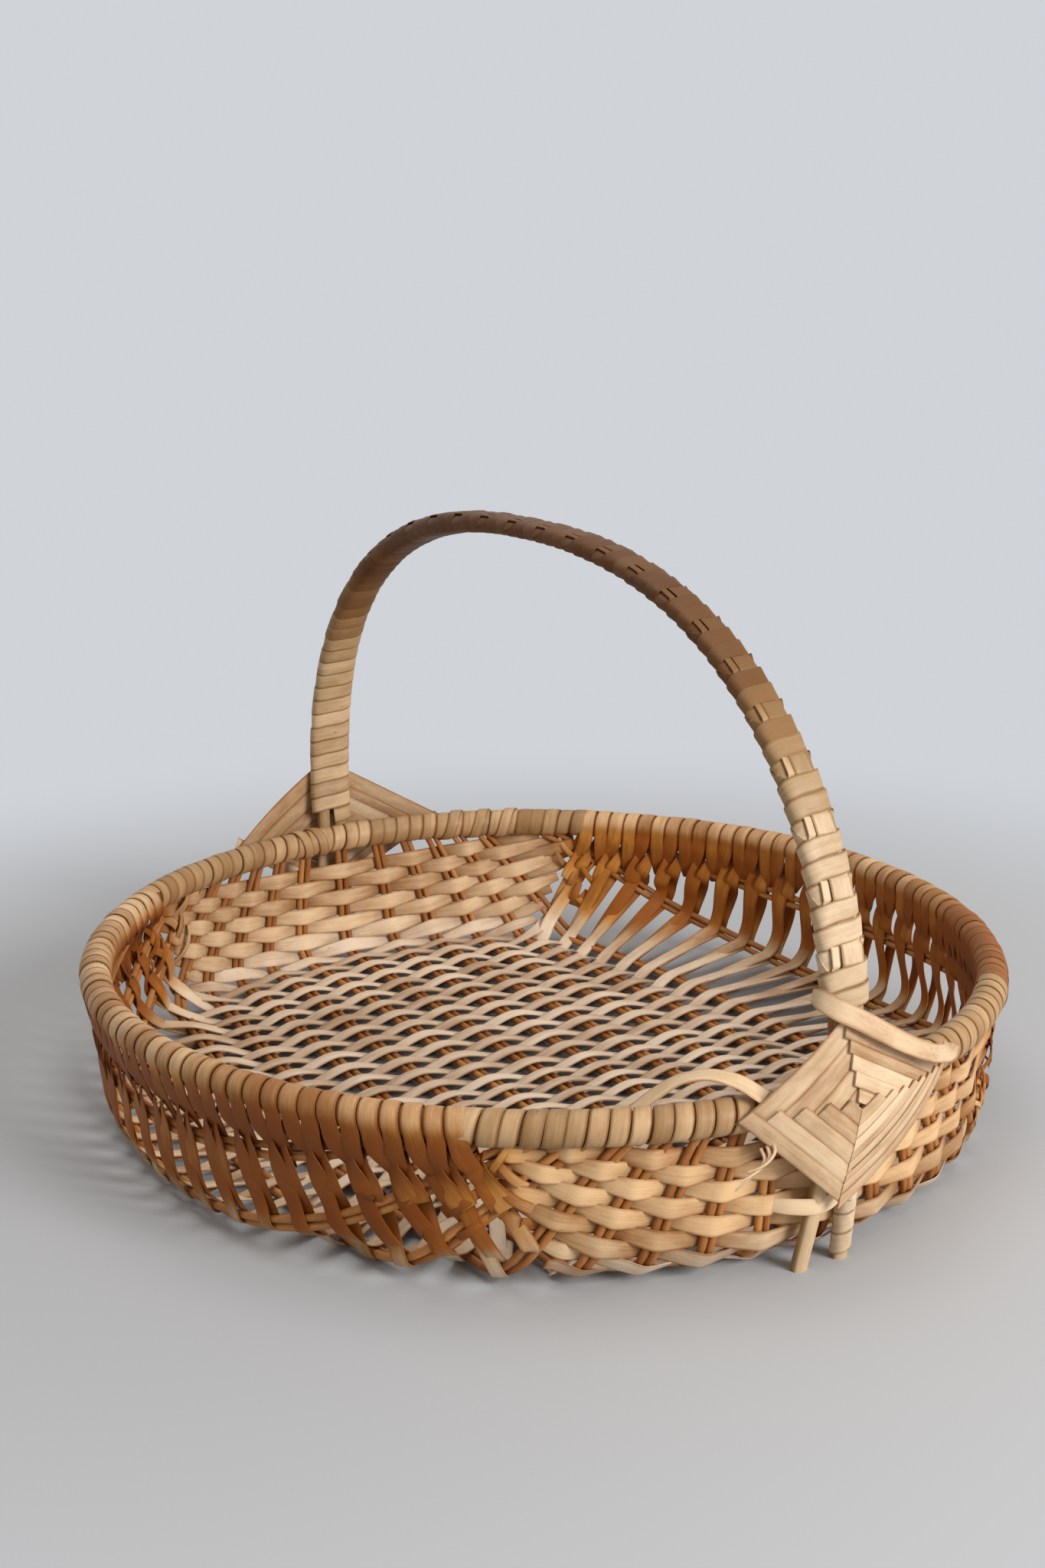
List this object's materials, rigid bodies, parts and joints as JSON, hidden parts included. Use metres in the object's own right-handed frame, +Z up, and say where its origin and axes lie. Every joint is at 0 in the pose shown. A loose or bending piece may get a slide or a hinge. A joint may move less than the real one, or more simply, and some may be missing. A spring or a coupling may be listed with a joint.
{
  "type": "harvest basket",
  "caption": "Shallow round gathering basket of split wood with a wrapped rim, woven diamonds at the handle crossings and one tall fixed bow handle.",
  "frame": {"origin": "on the table the basket stands on, under the middle of the rim", "axes": "+X points along the handle and the ribs towards the near handle foot, +Y across the handle towards the back-right open side, +Z up"},
  "size_m": [0.486, 0.4404, 0.2799],
  "materials": {
    "rods": "satin, peeled round rod, reddish brown",
    "splint": "matt, split and aged, pale tan with darker grain",
    "binding": "satin, flat wrapping splint, honey brown",
    "handle": "satin, worn smooth by hands, tan"
  },
  "bodies": {
    "root": {"rim_frame": "rods", "edge_rib_front": "rods", "edge_rib_back": "rods", "wall_rib_front": "rods", "wall_rib_back": "rods", "rim_binding": "binding", "weaver_01": "splint", "weaver_02": "splint", "weaver_03": "splint", "weaver_04": "splint", "weaver_05": "splint", "weaver_06": "splint", "weaver_07": "splint", "weaver_08": "splint", "weaver_09": "splint", "weaver_10": "splint", "weaver_11": "splint", "weaver_12": "splint", "weaver_13": "splint", "weaver_14": "splint", "weaver_15": "splint", "weaver_16": "splint", "weaver_17": "splint", "weaver_18": "splint", "weaver_19": "splint", "weaver_20": "splint", "weaver_21": "splint", "weaver_22": "splint", "weaver_23": "splint", "weaver_24": "splint", "weaver_25": "splint", "weaver_26": "splint", "weaver_27": "splint", "weaver_28": "splint", "weaver_29": "splint", "weaver_30": "splint", "weaver_31": "splint", "weaver_32": "splint", "weaver_33": "splint", "weaver_34": "splint", "weaver_35": "splint", "weaver_36": "splint", "weaver_37": "splint", "weaver_38": "splint", "weaver_39": "splint", "weaver_40": "splint", "weaver_41": "splint", "weaver_42": "splint", "weaver_43": "splint", "weaver_44": "splint", "weaver_45": "splint", "weaver_46": "splint", "weaver_47": "splint", "handle_rod_front": "rods", "handle_rod_back": "rods", "handle_binding": "handle", "handle_splint_narrow": "handle", "handle_splint_wide": "handle", "gods_eye_near": "splint", "gods_eye_far": "splint"}
  },
  "joints": []
}
